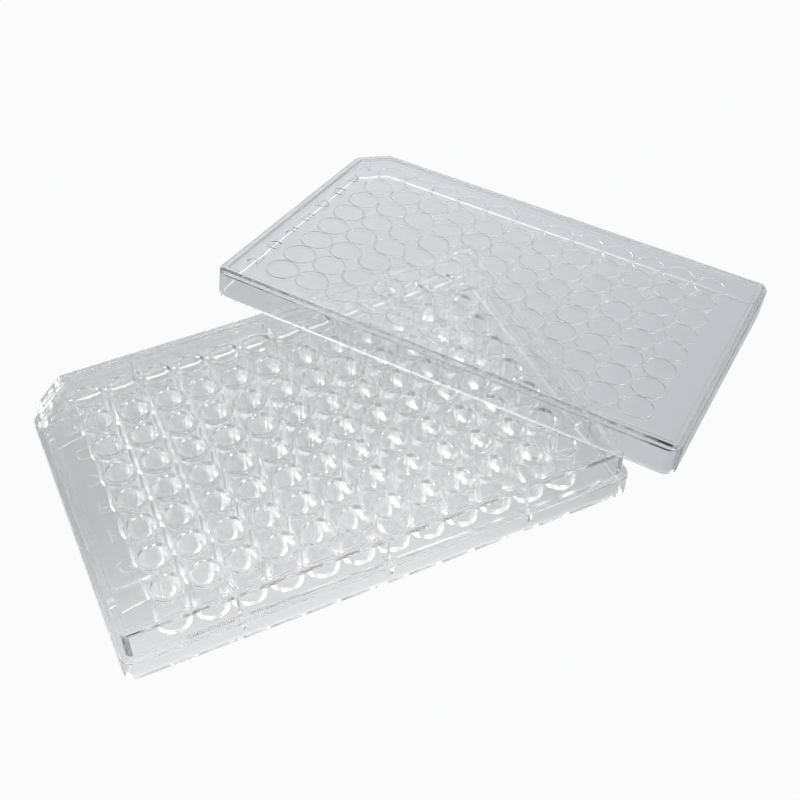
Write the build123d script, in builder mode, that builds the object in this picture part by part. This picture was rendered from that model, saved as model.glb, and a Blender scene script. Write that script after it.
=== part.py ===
"""A 96-well plate of clear polystyrene, standing flat, with its lid taken off and leaning on it.

Both pieces are single injection mouldings. The frame's origin is the centre of the plate's footprint,
on the surface that it stands on: +X runs along the rows from column 1 to column 12, +Y points at
row A, and +Z is up. All sizes are in millimetres, and all angles in degrees.
"""
from build123d import *
import math
import os

os.makedirs("parts", exist_ok=True)

# Well grid
column_count = 12
row_count = 8
well_pitch = 9.0

# Plate: the skirt, which carriers and robots hold, and the flange that closes its top
base_length = 127.76
base_width = 85.48
base_corner_radius = 3.18
base_corner_cut = 5.8  # leg of the cut that marks well A1
skirt_thickness = 1.5
flange_height = 6.1
flange_thickness = 1.3
flange_edge_radius = 0.6

# Plate: the narrower wall above the flange
wall_length = 124.6
wall_width = 81.6
wall_corner_radius = 1.5
wall_corner_cut = 7.7
wall_thickness = 1.5
rim_height = 14.2

# Plate: the deck, sunk inside the rim, which carries the wells
deck_drop = 1.0
deck_thickness = 1.2

# Wells: tubes that hang from the deck, with flat floors, each with a raised lip
well_diameter = 6.86
well_depth = 10.85
floor_thickness = 1.3
tube_diameter = 8.3
lip_diameter = 8.3
lip_height = 0.45  # above the deck

# Webs that stiffen the deck against the wall, each in a gap between two wells
web_thickness = 1.0
web_foot_height = 2.0  # of its lower edge, at the skirt
web_toe_height = 4.5  # of its lower edge, at the wells
side_web_row = 1  # the side webs are this many rows in from each end
long_web_count = 3  # along the front, and along the back
long_web_columns = 4  # from one of them to the next

# Lid
lid_length = 127.4
lid_width = 84.6
lid_corner_radius = 3.5
lid_corner_cut = 7.7
lid_height = 8.2
lid_skirt_thickness = 1.0
panel_thickness = 1.1
ridge_inset = 1.25  # from the outside of the skirt
ridge_width = 1.2
ridge_height = 0.6  # above the panel
shoulder_drop = 0.7  # below the top of the ridge
shoulder_radius = 0.4

# How the lid leans: where its lowest corner meets the table, and how far it is turned about +Z
lid_foot_x = 131.6
lid_foot_y = 0.5
lid_turn = -52.64
seat_clearance = 0.1  # at the two places where it rests on the plate


def cut_corner_outline(length, width, corner_radius, corner_cut, inset=0.0):
    """Adds a rectangle to the open sketch, moved in by inset, with its A1 corner (-X, +Y) cut off.

    The other three corners are rounded, where the inset leaves them a radius.
    """
    half_length = length / 2 - inset
    half_width = width / 2 - inset
    cut = corner_cut - inset * (2 - math.sqrt(2))  # the sloping side moves in by inset as well
    Polygon(
        (-half_length, -half_width),
        (half_length, -half_width),
        (half_length, half_width),
        (-half_length + cut, half_width),
        (-half_length, half_width - cut),
        align=None,
    )
    radius = corner_radius - inset
    if radius > 0:
        fillet(vertices().sort_by_distance((-half_length, half_width))[2:], radius)


def web_outline(well_line, wall_half, skirt_half):
    """Adds a web's side view to the open sketch, from the outer wells' centre line to the skirt.

    Its lower edge rises from the skirt to the wells. It bites into the walls and the deck.
    """
    well_face = well_line + tube_diameter / 2
    Polygon(
        (well_line, web_toe_height),
        (well_face, web_toe_height),
        (skirt_half - skirt_thickness / 2, web_foot_height),
        (skirt_half - skirt_thickness / 2, flange_underside + flange_thickness / 2),
        (wall_half - wall_thickness / 2, flange_underside + flange_thickness / 2),
        (wall_half - wall_thickness / 2, deck_underside + deck_thickness / 2),
        (well_line, deck_underside + deck_thickness / 2),
        align=None,
    )


def circles_on_grid(diameter):
    """Adds a circle on each well's axis to the open sketch."""
    with GridLocations(well_pitch, well_pitch, column_count, row_count):
        Circle(diameter / 2)


def leaning_plane():
    """The plane of the bottom of the lid's skirt, about the lid's centre, when the lid has come to rest.

    It rests on three seats: its lowest corner on the table, the inner edge of its row H skirt on the
    plate's front rim, and its panel on the plate's back right corner. Where each of them touches
    depends on the tilt, so the tilt is worked out again from the last one until it stays put.
    """
    heading = Vector(1, 0, 0).rotate(Axis.Z, lid_turn)
    foot = Vector(lid_foot_x, lid_foot_y, 0)
    up = Vector(0.15, 0.08, 1).normalized()  # a first guess, leaning towards the foot
    for _ in range(40):
        lid_y = up.cross(heading).normalized()
        lid_x = lid_y.cross(up)
        downhill = Vector(-lid_x.Z, -lid_y.Z, 0).normalized() * lid_corner_radius
        foot_x = lid_length / 2 - lid_corner_radius + downhill.X
        foot_y = lid_width / 2 - lid_corner_radius + downhill.Y
        centre = foot - lid_x * foot_x - lid_y * foot_y

        skirt_edge = centre - lid_y * (lid_width / 2 - lid_skirt_thickness)
        rim_seat = skirt_edge + lid_x * ((-wall_width / 2 - skirt_edge.Y) / lid_x.Y)
        rim_seat.Z = rim_height + seat_clearance

        lean = Vector(up.X, up.Y, 0).normalized() * wall_corner_radius
        corner_seat = lean + Vector(
            wall_length / 2 - wall_corner_radius,
            wall_width / 2 - wall_corner_radius,
            rim_height,
        )

        seat_line = (rim_seat - foot).normalized()
        reach = corner_seat - foot
        across = reach - seat_line * reach.dot(seat_line)
        height_share = (panel_underside - seat_clearance) / across.length
        side = seat_line.cross(across.normalized())
        if side.Z < 0:
            side = -side
        up = across.normalized() * height_share + side * math.sqrt(1 - height_share**2)
    return Plane(origin=centre, x_dir=lid_x, z_dir=up)


# Places that follow from the sizes
flange_underside = flange_height - flange_thickness
deck_top = rim_height - deck_drop
deck_underside = deck_top - deck_thickness
lip_top = deck_top + lip_height
tube_bottom_height = lip_top - well_depth - floor_thickness
last_row_y = (row_count - 1) / 2 * well_pitch
last_column_x = (column_count - 1) / 2 * well_pitch
side_web_y = last_row_y - (side_web_row - 0.5) * well_pitch
panel_top = lid_height - ridge_height
panel_underside = panel_top - panel_thickness
shoulder_height = lid_height - shoulder_drop

# The plate
with BuildPart() as plate:
    # Outside: the skirt with its flange, and the wall on it
    with BuildSketch():
        cut_corner_outline(base_length, base_width, base_corner_radius, base_corner_cut)
    extrude(amount=flange_height)
    fillet(faces().sort_by(Axis.Z)[-1].edges(), flange_edge_radius)
    with BuildSketch(Plane.XY.offset(flange_underside)):
        cut_corner_outline(wall_length, wall_width, wall_corner_radius, wall_corner_cut)
    extrude(amount=rim_height - flange_underside)

    # Inside: the hollow under the flange, the hollow under the deck, and the tray above the deck
    with BuildSketch():
        cut_corner_outline(
            base_length, base_width, base_corner_radius, base_corner_cut, skirt_thickness
        )
    extrude(amount=flange_underside, mode=Mode.SUBTRACT)
    with BuildSketch(Plane.XY.offset(flange_underside)):
        cut_corner_outline(
            wall_length, wall_width, wall_corner_radius, wall_corner_cut, wall_thickness
        )
    extrude(amount=deck_underside - flange_underside, mode=Mode.SUBTRACT)
    with BuildSketch(Plane.XY.offset(deck_top)):
        cut_corner_outline(
            wall_length, wall_width, wall_corner_radius, wall_corner_cut, wall_thickness
        )
    extrude(amount=deck_drop, mode=Mode.SUBTRACT)

    # Webs at the two sides, and along the front and back
    for web_y in (-side_web_y, side_web_y):
        with BuildSketch(Plane.XZ.offset(web_y)):
            web_outline(last_column_x, wall_length / 2, base_length / 2)
            mirror(about=Plane.YZ)
        extrude(amount=web_thickness / 2, both=True)
    for web in range(long_web_count):
        web_x = (web - (long_web_count - 1) / 2) * long_web_columns * well_pitch
        with BuildSketch(Plane.YZ.offset(web_x)):
            web_outline(last_row_y, wall_width / 2, base_width / 2)
            mirror(about=Plane.YZ)
        extrude(amount=web_thickness / 2, both=True)

    # Wells: the lips on the deck, the tubes under it, and the bores through both
    with BuildSketch(Plane.XY.offset(deck_top)):
        circles_on_grid(lip_diameter)
    extrude(amount=lip_height)
    with BuildSketch(Plane.XY.offset(deck_underside)):
        circles_on_grid(tube_diameter)
    extrude(amount=tube_bottom_height - deck_underside)
    with BuildSketch(Plane.XY.offset(lip_top)):
        circles_on_grid(well_diameter)
    extrude(amount=-well_depth, mode=Mode.SUBTRACT)
plate.part.label = "plate"
export_step(plate.part, "parts/plate.step")

# The lid
lid_plane = leaning_plane()
with BuildPart() as lid:
    # Outside: the skirt up to its shoulder, and the raised ridge that a stacked plate sits in
    with BuildSketch(lid_plane):
        cut_corner_outline(lid_length, lid_width, lid_corner_radius, lid_corner_cut)
    extrude(amount=shoulder_height)
    fillet(faces().sort_by(lid_plane.location.z_axis)[-1].edges(), shoulder_radius)
    with BuildSketch(lid_plane.offset(panel_underside)):
        cut_corner_outline(lid_length, lid_width, 0, lid_corner_cut, ridge_inset)
    extrude(amount=lid_height - panel_underside)

    # Inside: the panel's face within the ridge, and the hollow that goes over a plate
    with BuildSketch(lid_plane.offset(panel_top)):
        cut_corner_outline(lid_length, lid_width, 0, lid_corner_cut, ridge_inset + ridge_width)
    extrude(amount=ridge_height, mode=Mode.SUBTRACT)
    with BuildSketch(lid_plane):
        cut_corner_outline(
            lid_length, lid_width, lid_corner_radius, lid_corner_cut, lid_skirt_thickness
        )
    extrude(amount=panel_underside, mode=Mode.SUBTRACT)
lid.part.label = "lid"
export_step(lid.part, "parts/lid.step")
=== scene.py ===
# %% [markdown]
# # A well plate and its lid
# The object is two clear polystyrene mouldings: a plate with ninety-six small wells, and the
# lid that has been taken off it and leans on its rim. The solids come ready made in the frame,
# so this script copies each one, gives it the fine detail of a real moulding, a clear material
# and plain studio light.

# %% Load the frame
import math

import bmesh
import bpy
from mathutils import Matrix, Vector


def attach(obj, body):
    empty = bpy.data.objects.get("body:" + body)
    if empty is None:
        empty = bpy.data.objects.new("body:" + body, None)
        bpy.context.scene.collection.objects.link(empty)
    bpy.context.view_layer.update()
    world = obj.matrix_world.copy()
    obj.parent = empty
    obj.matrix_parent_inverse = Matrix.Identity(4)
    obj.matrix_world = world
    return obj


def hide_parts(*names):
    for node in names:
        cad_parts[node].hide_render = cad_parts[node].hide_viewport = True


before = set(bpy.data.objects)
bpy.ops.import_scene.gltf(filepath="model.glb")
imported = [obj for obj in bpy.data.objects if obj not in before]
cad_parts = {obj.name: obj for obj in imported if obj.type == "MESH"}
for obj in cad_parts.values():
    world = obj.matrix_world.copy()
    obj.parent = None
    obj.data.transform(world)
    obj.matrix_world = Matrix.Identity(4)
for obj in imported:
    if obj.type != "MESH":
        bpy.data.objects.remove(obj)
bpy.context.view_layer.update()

print("nodes:", sorted(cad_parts))


# %% [markdown]
# ## Sizes
# The solids are in metres and the drawing is in millimetres, so one small function turns one
# into the other. The sizes below are the drawing's own: a plate of this kind has its wells
# nine millimetres apart, and pipettes and readers rely on that.

# %% Sizes in millimetres, and the grid of wells
def mm(value):
    return value / 1000.0


well_pitch = 9.0
column_count = 12
row_count = 8
row_letters = "ABCDEFGH"
bore_radius = 3.43
bore_radius_at_floor = 3.2
well_floor = 2.8
deck_top = 13.2


def well_centres():
    for row in range(row_count):
        for column in range(column_count):
            x = (column - (column_count - 1) / 2) * well_pitch
            y = ((row_count - 1) / 2 - row) * well_pitch
            yield x, y


print("wells:", len(list(well_centres())))


# %% [markdown]
# ## Copy a solid
# A solid's own mesh is loose triangles and has to be left as it is. A copy of it is merged
# into one skin, and the triangles of a flat wall are joined into one face, so that the edges
# that are left are the edges of the moulding.

# %% Make a merged copy of a solid
weld_distance = 0.001
flat_angle = 0.5


def merged_copy(node):
    shape = bmesh.new()
    shape.from_mesh(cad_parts[node].data)
    bmesh.ops.remove_doubles(shape, verts=shape.verts, dist=mm(weld_distance))
    bmesh.ops.dissolve_limit(shape, angle_limit=math.radians(flat_angle),
                             verts=shape.verts, edges=shape.edges)
    print(node, "copy:", len(shape.verts), "vertices,", len(shape.faces), "faces")
    return shape


plate_shape = merged_copy("plate")
lid_shape = merged_copy("lid")


# %% [markdown]
# ## Draft in the wells
# A moulded well is a little narrower at its floor, so that it lets go of the steel pin that
# made it. Each well's floor ring is scaled in about the well's own axis, and the straight
# bore becomes a slightly tapered one.

# %% Narrow each well towards its floor
def narrow_wells(shape):
    near = mm(0.05)
    shrink = bore_radius_at_floor / bore_radius
    floor_verts = [v for v in shape.verts if abs(v.co.z - mm(well_floor)) < near]
    moved = 0
    for x, y in well_centres():
        centre = Vector((mm(x), mm(y), mm(well_floor)))
        ring = [v for v in floor_verts if abs((v.co - centre).length - mm(bore_radius)) < near]
        bmesh.ops.scale(shape, vec=(shrink, shrink, 1), space=Matrix.Translation(-centre), verts=ring)
        moved += len(ring)
    return moved


print("well floor vertices moved:", narrow_wells(plate_shape))


# %% [markdown]
# ## The lid's own directions
# The lid leans, so its fine detail is drawn flat, as on the mould, and then laid on it. The
# lid's directions are measured on its copy while that is still plain: the largest face gives
# the way up, and the longest edge gives the way along.

# %% Measure where the lid lies
def lid_place(shape):
    up = max(shape.faces, key=lambda f: f.calc_area()).normal.copy()
    up = up if up.z > 0 else -up
    longest = max(shape.edges, key=lambda e: e.calc_length())
    along = (longest.verts[1].co - longest.verts[0].co).normalized()
    along = along if along.x > 0 else -along
    turn = Matrix((along, up.cross(along), up)).transposed()
    flat = [turn.transposed() @ v.co for v in shape.verts]
    low = Vector([min(p[i] for p in flat) for i in range(3)])
    high = Vector([max(p[i] for p in flat) for i in range(3)])
    origin = turn @ Vector(((low.x + high.x) / 2, (low.y + high.y) / 2, low.z))
    return Matrix.Translation(origin) @ turn.to_4x4(), high - low


lid_matrix, lid_size = lid_place(lid_shape)
print("lid size:", [round(1000 * s, 2) for s in lid_size], "lean:",
      round(math.degrees(math.acos(lid_matrix[2][2])), 2), "degrees")


# %% [markdown]
# ## Soft edges
# No moulded edge is perfectly sharp. A very small rounding catches the light as a fine bright
# line, and on clear plastic those lines are most of what the eye sees. The bevel operator
# makes it. It works from sharp edges, and the very short ones at a mitre are passed over,
# because there is no room on them for a rounding. The edges that a piece stands on stay sharp,
# so that its foot ends in one clean line on the table. The plate's roundings are kept apart, so
# that no two of them overlap, and the operator then makes every one of them smaller, here about
# 0.09 mm in place of 0.12. On the lid it would leave them a fifth of their size, so the lid's
# are not kept apart.

# %% Round the edges of a shape
edge_radius = 0.12
edge_steps = 2
sharp_angle = 30
shortest_edge = 0.1
foot_margin = 0.05


def round_edges(shape, up, keep_apart):
    foot = min(v.co.dot(up) for v in shape.verts) + mm(foot_margin)
    sharp = [e for e in shape.edges if e.is_manifold and e.calc_length() > mm(shortest_edge)
             and e.calc_face_angle(0) > math.radians(sharp_angle)
             and max(v.co.dot(up) for v in e.verts) > foot]
    bmesh.ops.bevel(shape, geom=sharp, offset=mm(edge_radius), offset_type="OFFSET", affect="EDGES",
                    segments=edge_steps, profile=0.5, material=-1, clamp_overlap=keep_apart)
    return len(sharp)


print("plate edges rounded:", round_edges(plate_shape, Vector((0, 0, 1)), True))
print("lid edges rounded:", round_edges(lid_shape, lid_matrix.col[2].xyz, False))


# %% [markdown]
# ## From a shape to an object
# A bmesh is only a workbench. When a shape is done it is written to a mesh, and the mesh is
# given to an object. The object stays at the origin, unturned, because its place is already
# in its mesh.

# %% Make an object from a shape
def finished_piece(shape, name):
    mesh = bpy.data.meshes.new(name)
    shape.to_mesh(mesh)
    shape.free()
    piece = bpy.data.objects.new(name, mesh)
    bpy.context.scene.collection.objects.link(piece)
    return piece


plate_moulding = finished_piece(plate_shape, "plate_moulding")
lid_moulding = finished_piece(lid_shape, "lid_moulding")
print("pieces:", plate_moulding.name, lid_moulding.name)


# %% [markdown]
# ## Fine relief belongs to the moulding
# Rings, letters and ribs are cut into the same mould as the wall they stand on, so there is no
# joint between them. If they were only pushed into the wall, light would meet the hidden faces
# inside the clear plastic and draw them. A Boolean union takes those faces away. Its Manifold
# solver is quick, and works because every shape here is closed. The result is read back from
# the modifier, so that no modifier is left waiting.

# %% Join relief to a moulding
def settled_mesh(piece):
    graph = bpy.context.evaluated_depsgraph_get()
    return bpy.data.meshes.new_from_object(piece.evaluated_get(graph))


def join_relief(moulding, relief_shape, name):
    relief = finished_piece(relief_shape, name)
    union = moulding.modifiers.new(name, "BOOLEAN")
    union.operation = "UNION"
    union.solver = "MANIFOLD"
    union.object = relief
    joined = settled_mesh(moulding)
    moulding.modifiers.remove(union)
    moulding.data = joined
    bpy.data.objects.remove(relief)
    print(name, "joined:", len(joined.polygons), "faces in", moulding.name)


# %% [markdown]
# ## A ring over every well
# The lid has a low round ridge over each well, which keeps the mist that gathers under the lid
# of one well from running to the next. A ridge is a small circle spun round the well's axis.
# Most of the circle lies inside the lid's panel, and only its crown stands out. One ring is
# spun, and the other ninety-five are copies of it, which is much quicker than ninety-six spins.

# %% Spin one ring
ring_radius = 4.31
ring_rise = 0.12
ring_tube = 0.2
tube_sides = 12
ring_steps = 40
panel_top = 7.6


def one_ring():
    shape = bmesh.new()
    tilt = Matrix.Rotation(math.pi / 2, 4, "X")
    middle = Matrix.Translation((mm(ring_radius), 0, mm(panel_top - ring_tube + ring_rise)))
    bmesh.ops.create_circle(shape, segments=tube_sides, radius=mm(ring_tube), matrix=middle @ tilt)
    bmesh.ops.spin(shape, geom=shape.verts[:] + shape.edges[:], cent=(0, 0, 0), axis=(0, 0, 1),
                   steps=ring_steps, angle=2 * math.pi, use_merge=True, use_duplicate=False)
    bmesh.ops.recalc_face_normals(shape, faces=shape.faces)
    mesh = bpy.data.meshes.new("one_ring")
    shape.to_mesh(mesh)
    shape.free()
    return mesh


ring = one_ring()
print("one ring:", len(ring.vertices), "vertices,", len(ring.polygons), "faces")


# %% Copy the ring to every well and lay them on the lid
def ring_shapes():
    shape = bmesh.new()
    count = len(ring.vertices)
    for x, y in well_centres():
        shape.from_mesh(ring)
        shape.verts.ensure_lookup_table()
        bmesh.ops.translate(shape, vec=(mm(x), mm(y), 0), verts=shape.verts[-count:])
    bmesh.ops.transform(shape, matrix=lid_matrix, verts=shape.verts)
    return shape


join_relief(lid_moulding, ring_shapes(), "condensation_rings")


# %% [markdown]
# ## Row letters
# Every row of wells has its letter, A to H, in the margin beside column 1, on the plate and
# again on the lid, where they are lower still. They are raised letters in the same clear
# plastic, so they show only by their edges. A text object draws each letter, and it is made a
# mesh before it is put in place. A capital is about 0.7 of the size that a font is set to.

# %% Letters as shapes
letter_height = 4.0
capital_share = 0.7
curve_steps = 3
letter_weld = 0.002


def letter_shapes(x, top, rise, place):
    shape = bmesh.new()
    for row, letter in enumerate(row_letters):
        text = bpy.data.curves.new("row_" + letter, "FONT")
        text.body = letter
        text.align_x = "CENTER"
        text.size = mm(letter_height / capital_share)
        text.extrude = mm(rise)
        text.resolution_u = curve_steps
        holder = bpy.data.objects.new("row_" + letter, text)
        bpy.context.scene.collection.objects.link(holder)
        mesh = settled_mesh(holder)
        bpy.data.objects.remove(holder)
        y = ((row_count - 1) / 2 - row) * well_pitch
        before = set(shape.verts)
        shape.from_mesh(mesh)
        fresh = [v for v in shape.verts if v not in before]
        move = place @ Matrix.Translation((mm(x), mm(y - letter_height / 2), mm(top)))
        bmesh.ops.transform(shape, matrix=move, verts=fresh)
    bmesh.ops.remove_doubles(shape, verts=shape.verts, dist=mm(letter_weld))
    bmesh.ops.recalc_face_normals(shape, faces=shape.faces)
    print("open letter edges:", sum(not e.is_manifold for e in shape.edges))
    return shape


# %% Join the letters to the plate and to the lid
plate_letter_x = -56.0
plate_letter_rise = 0.12
lid_letter_x = -57.8
lid_letter_rise = 0.09
plate_letters = letter_shapes(plate_letter_x, deck_top, plate_letter_rise, Matrix.Identity(4))
join_relief(plate_moulding, plate_letters, "plate_row_letters")
lid_letters = letter_shapes(lid_letter_x, panel_top, lid_letter_rise, lid_matrix)
join_relief(lid_moulding, lid_letters, "lid_row_letters")


# %% [markdown]
# ## Grip ribs
# A row of fine ribs runs along the flange under the front wall, where fingers take hold of the
# plate. It stops beside each of the three webs. One rib is a small block, and the rest are
# copies of it. The real ribs are about 0.4 mm apart. These are drawn a little coarser, at
# 0.52 mm, so that they still show from a step away.

# %% One rib, copied along the flange
rib_pitch = 0.52
rib_width = 0.24
rib_rise = 0.22
rib_sink = 0.1
flange_top = 6.1
rib_near = -42.2
rib_far = -40.6
rib_first = -49.0
rib_last = 56.0
front_web_x = (-36.0, 0.0, 36.0)
web_gap = 1.6


def one_rib():
    shape = bmesh.new()
    size = (mm(rib_width), mm(rib_far - rib_near), mm(rib_rise + rib_sink))
    middle = (0, mm((rib_far + rib_near) / 2), mm(flange_top + (rib_rise - rib_sink) / 2))
    bmesh.ops.create_cube(shape, size=1.0)
    bmesh.ops.scale(shape, vec=size, verts=shape.verts)
    bmesh.ops.translate(shape, vec=middle, verts=shape.verts)
    mesh = bpy.data.meshes.new("one_rib")
    shape.to_mesh(mesh)
    shape.free()
    return mesh


def rib_shapes():
    shape = bmesh.new()
    rib = one_rib()
    corners = len(rib.vertices)
    for step in range(int((rib_last - rib_first) / rib_pitch) + 1):
        x = rib_first + step * rib_pitch
        if min(abs(x - web) for web in front_web_x) > web_gap:
            shape.from_mesh(rib)
            shape.verts.ensure_lookup_table()
            bmesh.ops.translate(shape, vec=(mm(x), 0, 0), verts=shape.verts[-corners:])
    print("grip ribs:", len(shape.verts) // corners)
    return shape


join_relief(plate_moulding, rib_shapes(), "grip_ribs")


# %% [markdown]
# ## Smooth curves and flat flats
# Smooth shading makes the wells round. On clear plastic it also bends the flat walls, because
# each corner's direction is a mean of its neighbours', and the walls then look like warped
# glass. Edges above 38 degrees are marked sharp, and a Weighted Normal modifier lets the large
# faces decide, so that the flats stay flat and only the tiny roundings carry the bend.

# %% Shade the two mouldings
smooth_up_to = 38
large_face_weight = 100
for piece in (plate_moulding, lid_moulding):
    piece.data.shade_smooth()
    piece.data.set_sharp_from_angle(angle=math.radians(smooth_up_to))
    flats = piece.modifiers.new("even_flats", "WEIGHTED_NORMAL")
    flats.weight = large_face_weight
    flats.keep_sharp = True
    triangles = sum(len(p.vertices) - 2 for p in piece.data.polygons)
    print(piece.name, len(piece.data.polygons), "faces,", triangles, "triangles")


# %% [markdown]
# ## Each moulding takes its solid's place
# The detailed copy is shown, and the plain solid stays underneath for collisions. Both pieces
# belong to the one body, which has no moving parts.

# %% Stand for the solids
for piece, node in ((plate_moulding, "plate"), (lid_moulding, "lid")):
    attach(piece, "root")
    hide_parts(node)
    print(piece.name, "stands for", node)


# %% [markdown]
# ## Colours and nodes
# Colours are written as they are on a screen, in hex, and one function turns them to the linear
# values that light adds up in. One more function adds a node with its settings and its links,
# so that each material reads as a short list.

# %% Colour and node helpers
def linear(hex_colour):
    channels = [int(hex_colour[i:i + 2], 16) / 255 for i in (0, 2, 4)]
    return [c / 12.92 if c <= 0.04045 else ((c + 0.055) / 1.055) ** 2.4 for c in channels] + [1.0]


def add_node(tree, kind, settings=None, inputs=None):
    node = tree.nodes.new(kind)
    for name, value in (settings or {}).items():
        setattr(node, name, value)
    for name, value in (inputs or {}).items():
        if isinstance(value, bpy.types.NodeSocket):
            tree.links.new(value, node.inputs[name])
        else:
            node.inputs[name].default_value = value
    return node


def new_material(name):
    material = bpy.data.materials.new(name)
    material.use_nodes = True
    material.node_tree.nodes.clear()
    return material, material.node_tree


print("mid grey 808080 in linear light:", round(linear("808080")[0], 3))


# %% [markdown]
# ## Clear polystyrene, injection moulded and polished
# Crystal polystyrene is almost colourless, bends light more than window glass (its index is
# 1.59), and copies the polish of a steel mould, so it is nearly a mirror where it is flat. The
# melt cools unevenly and leaves a very slow wave, a few micrometres high and about a
# centimetre long, that the eye sees as slightly wandering reflections. One noise pattern gives
# the wave, and lets the polish vary with it, so that no wall is perfectly even.

# %% The slow wave and the plastic itself
polystyrene_index = 1.59
wave_length = 9.0
wave_height = 0.02
wave_strength = 0.3
finest_polish = 0.0
dullest_polish = 0.025


def slow_wave(tree):
    place = add_node(tree, "ShaderNodeTexCoord")
    flow = add_node(tree, "ShaderNodeTexNoise", None,
                    {"Vector": place.outputs["Object"], "Scale": 1 / mm(wave_length), "Detail": 2.0})
    bump = add_node(tree, "ShaderNodeBump", None,
                    {"Height": flow.outputs["Fac"], "Strength": wave_strength,
                     "Distance": mm(wave_height)})
    return flow.outputs["Fac"], bump.outputs["Normal"]


def clear_plastic(tree, tint, flow, normal):
    polish = add_node(tree, "ShaderNodeMapRange", None,
                      {"Value": flow, "To Min": finest_polish, "To Max": dullest_polish})
    surface = add_node(tree, "ShaderNodeBsdfPrincipled", None, {
        "Base Color": linear(tint), "IOR": polystyrene_index, "Transmission Weight": 1.0,
        "Roughness": polish.outputs["Result"], "Normal": normal})
    add_node(tree, "ShaderNodeOutputMaterial", None, {"Surface": surface.outputs["BSDF"]})


print("noise scale of the slow wave:", round(1 / mm(wave_length), 1), "per metre")


# %% [markdown]
# ## Ripple on the wells
# The wells are formed on ninety-six turned steel pins, and the turning leaves fine ripple on
# them, drawn out along the pull of the mould. It breaks up what is seen through the wells into
# small glints, and is the reason that they sparkle while the margin stays calm. A second noise
# gives it. It is stretched along Z, and works only on the steep faces inside the field of
# wells. The ripple is drawn at 0.5 mm, coarser than the real one, so that it shows.

# %% Ripple where the wells are
ripple_length = 0.5
ripple_height = 0.05
ripple_stretch = 0.3
field_half_length = 56.0
field_half_width = 37.0
steepest_flat = 0.5


def well_ripple(tree, normal):
    place = add_node(tree, "ShaderNodeTexCoord")
    reach = add_node(tree, "ShaderNodeVectorMath", {"operation": "ABSOLUTE"}, {0: place.outputs["Object"]})
    reach = add_node(tree, "ShaderNodeSeparateXYZ", None, {"Vector": reach.outputs["Vector"]})
    along = add_node(tree, "ShaderNodeMath", {"operation": "LESS_THAN"},
                     {0: reach.outputs["X"], 1: mm(field_half_length)})
    across = add_node(tree, "ShaderNodeMath", {"operation": "LESS_THAN"},
                      {0: reach.outputs["Y"], 1: mm(field_half_width)})
    lean = add_node(tree, "ShaderNodeVectorMath", {"operation": "ABSOLUTE"}, {0: place.outputs["Normal"]})
    lean = add_node(tree, "ShaderNodeSeparateXYZ", None, {"Vector": lean.outputs["Vector"]})
    steep = add_node(tree, "ShaderNodeMath", {"operation": "LESS_THAN"},
                     {0: lean.outputs["Z"], 1: steepest_flat})
    field = add_node(tree, "ShaderNodeMath", {"operation": "MULTIPLY"},
                     {0: along.outputs[0], 1: across.outputs[0]})
    share = add_node(tree, "ShaderNodeMath", {"operation": "MULTIPLY"},
                     {0: field.outputs[0], 1: steep.outputs[0]})
    drawn = add_node(tree, "ShaderNodeMapping", {"vector_type": "POINT"},
                     {"Vector": place.outputs["Object"], "Scale": (1.0, 1.0, ripple_stretch)})
    ripple = add_node(tree, "ShaderNodeTexNoise", None,
                      {"Vector": drawn.outputs["Vector"], "Scale": 1 / mm(ripple_length), "Detail": 2.0})
    bump = add_node(tree, "ShaderNodeBump", None,
                    {"Height": ripple.outputs["Fac"], "Strength": share.outputs[0],
                     "Distance": mm(ripple_height), "Normal": normal})
    return bump.outputs["Normal"]


# %% Dress the plate and the lid
plate_plastic, tree = new_material("clear_polystyrene_plate")
flow, normal = slow_wave(tree)
clear_plastic(tree, "FEFEFE", flow, well_ripple(tree, normal))

lid_plastic, tree = new_material("clear_polystyrene_lid")
flow, normal = slow_wave(tree)
clear_plastic(tree, "FDFEFF", flow, normal)

for piece, plastic in ((plate_moulding, plate_plastic), (lid_moulding, lid_plastic)):
    piece.data.materials.clear()
    piece.data.materials.append(plastic)
    print(piece.name, "is", plastic.name)


# %% [markdown]
# ## The floor
# Clear plastic shows what lies behind it, so the floor decides how the object looks. Seen
# directly it is white paper. Seen through the plastic, or mirrored in it, it is a share of that
# white over a grey that still takes light and shadow, which is how a pale sweep looks under a
# clear thing that shades it. A ray that is refracted counts as glossy and as transmitted at
# once, so the larger of the two is taken and not their sum. The share is painted light and
# shade, not lit: it rises towards the front as painted light, where a sweep would catch more
# light, falls off to the right as painted shade under the lid's low corner, and is gone beyond
# the plate's left side and the lid's right end, as painted dark patches, so that their upright
# walls mirror something darker.

# %% The floor's shape and its place
floor_size = 3.0
floor_drop = 0.2
bpy.ops.mesh.primitive_plane_add(size=floor_size, location=(0, 0, mm(-floor_drop)))
floor = bpy.context.object
floor.name = "studio_floor"
print("floor:", floor_size, "m wide,", floor_drop, "mm under the plate")

# %% Painted light and shade on the floor, as a share of white
share_everywhere = 0.29
painted_front_light = 0.35
front_full = -52
front_none = 10
left_full = 0
left_none = 75
paper, tree = new_material("matt_white_paper")
place = add_node(tree, "ShaderNodeTexCoord")
spot = add_node(tree, "ShaderNodeSeparateXYZ", None, {"Vector": place.outputs["Object"]})
# Painted light: the white share rises towards the front, as if a lamp lit the near floor more.
painted_light_to_front = add_node(tree, "ShaderNodeMapRange", {"interpolation_type": "SMOOTHSTEP"},
                    {"Value": spot.outputs["Y"], "From Min": mm(front_full),
                     "From Max": mm(front_none), "To Min": painted_front_light, "To Max": 0.0})
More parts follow.
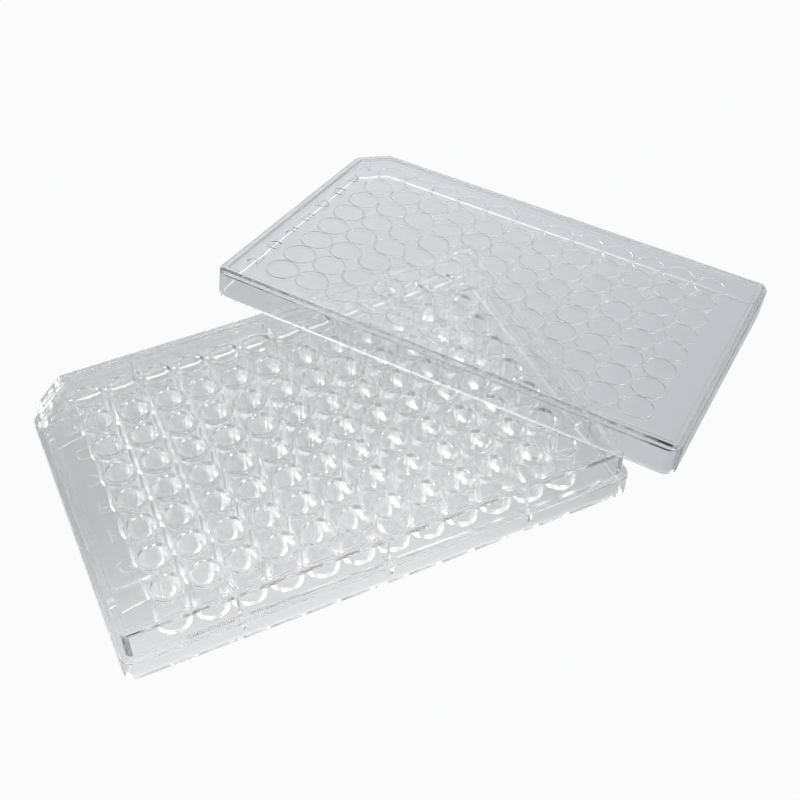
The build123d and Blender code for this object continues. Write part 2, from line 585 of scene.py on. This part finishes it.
# Painted shade: the white share falls off to the right, under the lid's low corner.
painted_shade_to_right = add_node(tree, "ShaderNodeMapRange", {"interpolation_type": "SMOOTHSTEP"},
                   {"Value": spot.outputs["X"], "From Min": mm(left_full),
                    "From Max": mm(left_none), "To Min": 1.0, "To Max": 0.0})
painted_light_share = add_node(tree, "ShaderNodeMath", {"operation": "MULTIPLY_ADD"},
                 {0: painted_light_to_front.outputs["Result"], 1: painted_shade_to_right.outputs["Result"], 2: share_everywhere})
print("share of white behind the plastic:", share_everywhere, "to", share_everywhere + painted_front_light)

# %% Painted dark patches beside the plate's left side and past the lid's right end
plate_side_none = -78
plate_side_full = -60
before_lid_end = 5
past_lid_end = 12
# Painted dark patch beside the plate's left side, so that its upright wall mirrors something darker.
plate_side = add_node(tree, "ShaderNodeMapRange", {"interpolation_type": "SMOOTHSTEP"},
                      {"Value": spot.outputs["X"], "From Min": mm(plate_side_none),
                       "From Max": mm(plate_side_full), "To Min": 0.0, "To Max": 1.0})
lid_axis = lid_matrix.col[0].xyz
lid_end = (lid_matrix @ Vector((lid_size.x / 2, 0, 0))).dot(lid_axis)
along_lid = add_node(tree, "ShaderNodeVectorMath", {"operation": "DOT_PRODUCT"},
                     {0: place.outputs["Object"], 1: lid_axis})
# Painted dark patch past the lid's right end, so that its upright wall mirrors something darker.
painted_dark_past_lid = add_node(tree, "ShaderNodeMapRange", {"interpolation_type": "SMOOTHSTEP"},
                    {"Value": along_lid.outputs["Value"], "From Min": lid_end - mm(before_lid_end),
                     "From Max": lid_end + mm(past_lid_end), "To Min": 1.0, "To Max": 0.0})
painted_light_share = add_node(tree, "ShaderNodeMath", {"operation": "MULTIPLY"},
                 {0: painted_light_share.outputs[0], 1: plate_side.outputs["Result"]})
painted_light_share = add_node(tree, "ShaderNodeMath", {"operation": "MULTIPLY"},
                 {0: painted_light_share.outputs[0], 1: painted_dark_past_lid.outputs["Result"]})
print("the lid ends", round(lid_end * 1000, 1), "mm along its own length")

# %% Mix the white and the grey by the kind of ray
share_seen_directly = 0.94
floor_grey = "999CA1"
rays = add_node(tree, "ShaderNodeLightPath")
by_plastic = add_node(tree, "ShaderNodeMath", {"operation": "MAXIMUM"},
                      {0: rays.outputs["Is Glossy Ray"], 1: rays.outputs["Is Transmission Ray"]})
by_plastic = add_node(tree, "ShaderNodeMath", {"operation": "MULTIPLY"},
                      {0: by_plastic.outputs[0], 1: painted_light_share.outputs[0]})
directly = add_node(tree, "ShaderNodeMath", {"operation": "MULTIPLY"},
                    {0: rays.outputs["Is Camera Ray"], 1: share_seen_directly})
white_share = add_node(tree, "ShaderNodeMath", {"operation": "ADD", "use_clamp": True},
                       {0: by_plastic.outputs[0], 1: directly.outputs[0]})
grey = add_node(tree, "ShaderNodeBsdfDiffuse", None, {"Color": linear(floor_grey)})
white = add_node(tree, "ShaderNodeEmission", None, {"Color": linear("FFFFFF"), "Strength": 1.0})
seen = add_node(tree, "ShaderNodeMixShader", None,
                {0: white_share.outputs[0], 1: grey.outputs[0], 2: white.outputs[0]})
add_node(tree, "ShaderNodeOutputMaterial", None, {"Surface": seen.outputs[0]})
floor.data.materials.append(paper)
print("floor grey in linear light:", [round(c, 2) for c in linear(floor_grey)[:3]])


# %% [markdown]
# ## A light tent
# Clear things are lit by what surrounds them. The world is a tent: a dim dome, darker to the
# left and right, so that upright edges get a grey line, and a pale band at about 45 degrees all
# round. The floors of the wells mirror that band and brighten. The band is left out at the
# back, where the flat deck would mirror it towards the camera, so the deck stays calm. A soft
# pale wall low at the back gives the leaning lid its even veil. The levels are low, so that a
# colour shows about as it is written. The camera itself sees plain white. A world's directions
# have a length of one, so Z is the sine of how high a direction points.

# %% The dome, darker at its sides
level_at_horizon = 0.45
level_overhead = 0.30
share_at_sides = 0.2
dome_low = 0.05
dome_high = 0.5
sides_from = 0.75
sides_full = 0.95
scene = bpy.context.scene
world = bpy.data.worlds.new("light_tent")
scene.world = world
world.use_nodes = True
air = world.node_tree
air.nodes.clear()
look = add_node(air, "ShaderNodeTexCoord")
sight = add_node(air, "ShaderNodeSeparateXYZ", None, {"Vector": look.outputs["Generated"]})
dim = add_node(air, "ShaderNodeMapRange", {"interpolation_type": "SMOOTHSTEP"},
               {"Value": sight.outputs["Z"], "From Min": dome_low, "From Max": dome_high,
                "To Min": level_at_horizon, "To Max": level_overhead})
sideways = add_node(air, "ShaderNodeMath", {"operation": "ABSOLUTE"}, {0: sight.outputs["X"]})
flags = add_node(air, "ShaderNodeMapRange", {"interpolation_type": "SMOOTHSTEP"},
                 {"Value": sideways.outputs[0], "From Min": sides_from, "From Max": sides_full,
                  "To Min": 1.0, "To Max": share_at_sides})
dome = add_node(air, "ShaderNodeMath", {"operation": "MULTIPLY"},
                {0: dim.outputs["Result"], 1: flags.outputs["Result"]})
print("dome:", level_at_horizon, "at the horizon,", level_overhead, "overhead,",
      share_at_sides, "of that at the sides")


# %% The pale band, with a gap at the back
def towards(azimuth, elevation):
    """The direction at an azimuth from +X and an elevation, both in degrees."""
    across = math.cos(math.radians(elevation))
    return (across * math.cos(math.radians(azimuth)), across * math.sin(math.radians(azimuth)),
            math.sin(math.radians(elevation)))


band_level = 1.9
band_foot = 0.38
band_full_from = 0.60
band_full_to = 0.80
band_top = 0.96
gap_azimuth = 70
gap_edge = 0.35
gap_full = 0.57
rise = add_node(air, "ShaderNodeMapRange", {"interpolation_type": "SMOOTHSTEP"},
                {"Value": sight.outputs["Z"], "From Min": band_foot, "From Max": band_full_from,
                 "To Min": 0.0, "To Max": 1.0})
fall = add_node(air, "ShaderNodeMapRange", {"interpolation_type": "SMOOTHSTEP"},
                {"Value": sight.outputs["Z"], "From Min": band_full_to, "From Max": band_top,
                 "To Min": 1.0, "To Max": 0.0})
to_back = add_node(air, "ShaderNodeVectorMath", {"operation": "DOT_PRODUCT"},
                   {0: look.outputs["Generated"], 1: towards(gap_azimuth, 0)})
gap = add_node(air, "ShaderNodeMapRange", {"interpolation_type": "SMOOTHSTEP"},
               {"Value": to_back.outputs["Value"], "From Min": gap_edge, "From Max": gap_full,
                "To Min": band_level, "To Max": 0.0})
band = add_node(air, "ShaderNodeMath", {"operation": "MULTIPLY"},
                {0: rise.outputs["Result"], 1: fall.outputs["Result"]})
band = add_node(air, "ShaderNodeMath", {"operation": "MULTIPLY"},
                {0: band.outputs[0], 1: gap.outputs["Result"]})
print("band: from", round(math.degrees(math.asin(band_foot))), "to",
      round(math.degrees(math.asin(band_top))), "degrees up")

# %% The pale wall at the back, and the whole tent
wall_azimuth = 72
wall_elevation = 20
wall_reach = 34
wall_core = 4
to_wall = add_node(air, "ShaderNodeVectorMath", {"operation": "DOT_PRODUCT"},
                   {0: look.outputs["Generated"], 1: towards(wall_azimuth, wall_elevation)})
wall = add_node(air, "ShaderNodeMapRange", {"interpolation_type": "SMOOTHSTEP"},
                {"Value": to_wall.outputs["Value"], "From Min": math.cos(math.radians(wall_reach)),
                 "From Max": math.cos(math.radians(wall_core)), "To Min": 0.0, "To Max": 1.0})
tent = add_node(air, "ShaderNodeMath", {"operation": "ADD"}, {0: dome.outputs[0], 1: band.outputs[0]})
tent = add_node(air, "ShaderNodeMath", {"operation": "ADD"},
                {0: tent.outputs[0], 1: wall.outputs["Result"]})
soft = add_node(air, "ShaderNodeBackground", None,
                {"Color": linear("FDFEFF"), "Strength": tent.outputs[0]})
plain = add_node(air, "ShaderNodeBackground", None, {"Color": linear("FFFFFF"), "Strength": 1.0})
rays = add_node(air, "ShaderNodeLightPath")
seen = add_node(air, "ShaderNodeMixShader", None,
                {0: rays.outputs["Is Camera Ray"], 1: soft.outputs[0], 2: plain.outputs[0]})
add_node(air, "ShaderNodeOutputWorld", None, {"Surface": seen.outputs[0]})
print("nodes in the tent:", len(air.nodes))


# %% [markdown]
# ## One small softbox
# A tent alone leaves no sparkle. A small area lamp, high on the right, adds the bright points
# on the lips of the wells and at the lid's corners, and a faint soft shadow on the floor.

# %% Hang the softbox
middle = Vector((0.03, 0.02, 0.01))
softbox = bpy.data.lights.new("softbox", "AREA")
softbox.shape = "SQUARE"
softbox.size = 0.25
softbox.energy = 2.0
holder = bpy.data.objects.new("softbox", softbox)
scene.collection.objects.link(holder)
holder.location = (0.78, 0.10, 0.80)
holder.rotation_euler = (middle - holder.location).to_track_quat("-Z", "Y").to_euler()
print("softbox:", round((middle - holder.location).length, 2), "m away")


# %% [markdown]
# ## The camera
# The camera stands in front of row H and to the left, and looks down at 47 degrees. Its three
# angles are read as: raised from looking straight down, rolled a little, and turned about the
# vertical. A small shift moves the frame without bending the perspective.

# %% Set the camera
camera_angles = (43.24, 0.64, -24.28)
camera_data = bpy.data.cameras.new("camera")
camera_data.sensor_width = 36
camera_data.lens = 55.99
camera_data.shift_x = 0.0323
camera_data.shift_y = 0.0015
camera_data.clip_start = 0.01
camera = bpy.data.objects.new("camera", camera_data)
scene.collection.objects.link(camera)
camera.location = (mm(-70.21), mm(-194.07), mm(238.32))
camera.rotation_euler = [math.radians(angle) for angle in camera_angles]
scene.camera = camera
print("camera:", round(camera.location.length, 3), "m from the plate's middle")


# %% [markdown]
# ## Light paths long enough for clear plastic
# Light crosses many skins on its way through wells, deck and lid, and a path that is cut short
# ends in black. The number of crossings is raised until nothing changes. Blurring of sharp
# light paths is kept low and bright paths are capped late, because most of the light under the
# wells comes through plastic.

# %% Path lengths
plastic_bounces = 32
scene.view_settings.view_transform = "Standard"
scene.cycles.max_bounces = plastic_bounces
scene.cycles.transmission_bounces = plastic_bounces
scene.cycles.glossy_bounces = plastic_bounces
scene.cycles.diffuse_bounces = 4
scene.cycles.blur_glossy = 0.1
scene.cycles.sample_clamp_indirect = 20.0
print("longest light path:", scene.cycles.max_bounces, "bounces")
